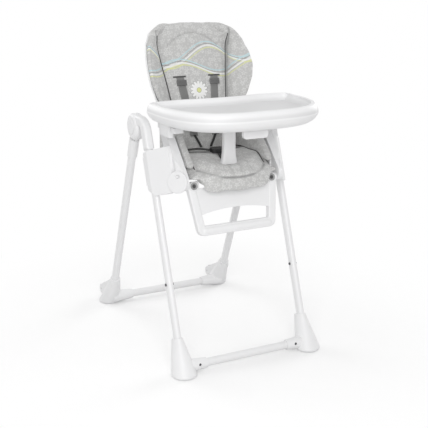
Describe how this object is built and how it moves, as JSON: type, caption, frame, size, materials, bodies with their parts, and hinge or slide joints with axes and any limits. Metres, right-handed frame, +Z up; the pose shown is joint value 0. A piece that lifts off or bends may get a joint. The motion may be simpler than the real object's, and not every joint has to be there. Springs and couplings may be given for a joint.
{
  "type": "baby high chair",
  "caption": "Folding baby high chair with white tube frame, height-adjustable seat, reclining padded back, harness, sliding lift-off tray, crotch post and adjustable footrest.",
  "frame": {"origin": "on the floor, under the middle of the chair's box", "axes": "+Z up, the front faces -Y, +X to the right as seen from the front"},
  "size_m": [0.55, 0.894, 1.0805],
  "materials": {
    "white_plastic": "satin moulded",
    "tray_plastic": "smooth moulded",
    "white_steel": "powder coated, satin",
    "steel": "turned",
    "dark_screw": "blackened",
    "inner_plastic": "moulded",
    "rubber_pad": "matt",
    "wheel_plastic": "matt moulded",
    "grey_button": "satin moulded",
    "grey_fabric": "printed wipe-clean cloth",
    "grey_webbing": "woven webbing",
    "dark_plastic": "moulded"
  },
  "bodies": {
    "front_frame": {"front_leg_upper_left": "white_steel", "front_leg_upper_right": "white_steel", "front_leg_lower_left": "white_steel", "front_leg_lower_right": "white_steel", "leg_spigot_left": "inner_plastic", "leg_spigot_right": "inner_plastic", "leg_screws": "dark_screw", "knuckle_left": "white_plastic", "knuckle_right": "white_plastic", "hub_pins": "steel", "front_foot_left": "white_plastic", "front_foot_right": "white_plastic", "front_cross_tube": "white_steel", "front_foot_screws": "dark_screw", "front_foot_pads": "rubber_pad"},
    "rear_frame": {"rear_leg_upper_left": "white_steel", "rear_leg_upper_right": "white_steel", "rear_leg_lower_left": "white_steel", "rear_leg_lower_right": "white_steel", "rear_hub_left": "white_plastic", "rear_hub_right": "white_plastic", "rear_foot_left": "white_plastic", "rear_foot_right": "white_plastic", "rear_cross_tube": "white_steel", "rear_foot_pads": "rubber_pad", "wheel_axles": "steel"},
    "rear_wheel_left": {"rear_wheel_left": "wheel_plastic"},
    "rear_wheel_right": {"rear_wheel_right": "wheel_plastic"},
    "fold_button_left": {"fold_button_left": "grey_button"},
    "fold_button_right": {"fold_button_right": "grey_button"},
    "carriage": {"housing_left": "white_plastic", "housing_right": "white_plastic", "housing_cover_left": "white_plastic", "housing_cover_right": "white_plastic", "housing_screws": "dark_screw", "arm_left": "white_plastic", "arm_right": "white_plastic", "arm_caps": "white_plastic", "footrest_pins": "steel", "seat_shell": "white_plastic", "backrest_pins": "steel", "seat_cushion": "grey_fabric", "side_cushion_left": "grey_fabric", "side_cushion_right": "grey_fabric", "harness_buckle": "dark_plastic", "lap_straps": "grey_webbing"},
    "height_lever_left": {"height_lever_left": "grey_button"},
    "height_lever_right": {"height_lever_right": "grey_button"},
    "backrest": {"backrest_shell": "white_plastic", "back_cushion": "grey_fabric", "shoulder_straps": "grey_webbing", "strap_adjusters": "dark_plastic"},
    "recline_lever": {"recline_lever": "grey_button"},
    "footrest": {"footrest": "white_plastic"},
    "footrest_button_left": {"footrest_button_left": "grey_button"},
    "footrest_button_right": {"footrest_button_right": "grey_button"},
    "tray": {"tray_base": "tray_plastic", "crotch_post": "white_plastic"},
    "tray_top": {"tray_top": "tray_plastic"},
    "tray_lever": {"tray_lever": "grey_button"}
  },
  "joints": [
    {"name": "fold", "type": "hinge", "parent": "front_frame", "child": "rear_frame", "pos_m": [0, 0.038, 0.75], "axis": [-1, 0, 0], "range_deg": [0, 40]},
    {"name": "wheel_left", "type": "hinge", "parent": "rear_frame", "child": "rear_wheel_left", "pos_m": [-0.233, 0.425, 0.037], "axis": [1, 0, 0], "continuous": true},
    {"name": "fold_button_left", "type": "slide", "parent": "front_frame", "child": "fold_button_left", "axis": [1, 0, 0], "range_m": [0, 0.003], "stiffness_N_per_m": 1000, "springref_m": -0.003},
    {"name": "wheel_right", "type": "hinge", "parent": "rear_frame", "child": "rear_wheel_right", "pos_m": [0.233, 0.425, 0.037], "axis": [1, 0, 0], "continuous": true},
    {"name": "fold_button_right", "type": "slide", "parent": "front_frame", "child": "fold_button_right", "axis": [-1, 0, 0], "range_m": [0, 0.003], "stiffness_N_per_m": 1000, "springref_m": -0.003},
    {"name": "height", "type": "slide", "parent": "front_frame", "child": "carriage", "axis": [0, 0.342, 0.9397], "range_m": [-0.2, 0]},
    {"name": "height_lever_left", "type": "slide", "parent": "carriage", "child": "height_lever_left", "axis": [0, -0.9397, 0.342], "range_m": [0, 0.0045], "stiffness_N_per_m": 1000, "springref_m": -0.003},
    {"name": "height_lever_right", "type": "slide", "parent": "carriage", "child": "height_lever_right", "axis": [0, -0.9397, 0.342], "range_m": [0, 0.0045], "stiffness_N_per_m": 1000, "springref_m": -0.003},
    {"name": "recline", "type": "hinge", "parent": "carriage", "child": "backrest", "pos_m": [0, 0.024, 0.628], "axis": [-1, 0, 0], "range_deg": [0, 40]},
    {"name": "recline_lever", "type": "slide", "parent": "backrest", "child": "recline_lever", "axis": [0, 0.309, 0.9511], "range_m": [0, 0.0055], "stiffness_N_per_m": 800, "springref_m": -0.003},
    {"name": "footrest", "type": "hinge", "parent": "carriage", "child": "footrest", "pos_m": [0, -0.21, 0.589], "axis": [-1, 0, 0], "range_deg": [-30, 35]},
    {"name": "footrest_button_left", "type": "slide", "parent": "footrest", "child": "footrest_button_left", "axis": [0, 0.9659, -0.2588], "range_m": [0, 0.004], "stiffness_N_per_m": 1000, "springref_m": -0.003},
    {"name": "footrest_button_right", "type": "slide", "parent": "footrest", "child": "footrest_button_right", "axis": [0, 0.9659, -0.2588], "range_m": [0, 0.004], "stiffness_N_per_m": 1000, "springref_m": -0.003},
    {"name": "tray", "type": "slide", "parent": "carriage", "child": "tray", "axis": [0, -1, 0], "range_m": [0, 0.06]},
    {"name": "tray_top_lift", "type": "slide", "parent": "tray", "child": "tray_top", "axis": [0, 0, 1], "range_m": [0, 0.06]},
    {"name": "tray_lever", "type": "slide", "parent": "tray", "child": "tray_lever", "axis": [0, -1, 0], "range_m": [0, 0.008], "stiffness_N_per_m": 800, "springref_m": -0.003}
  ]
}
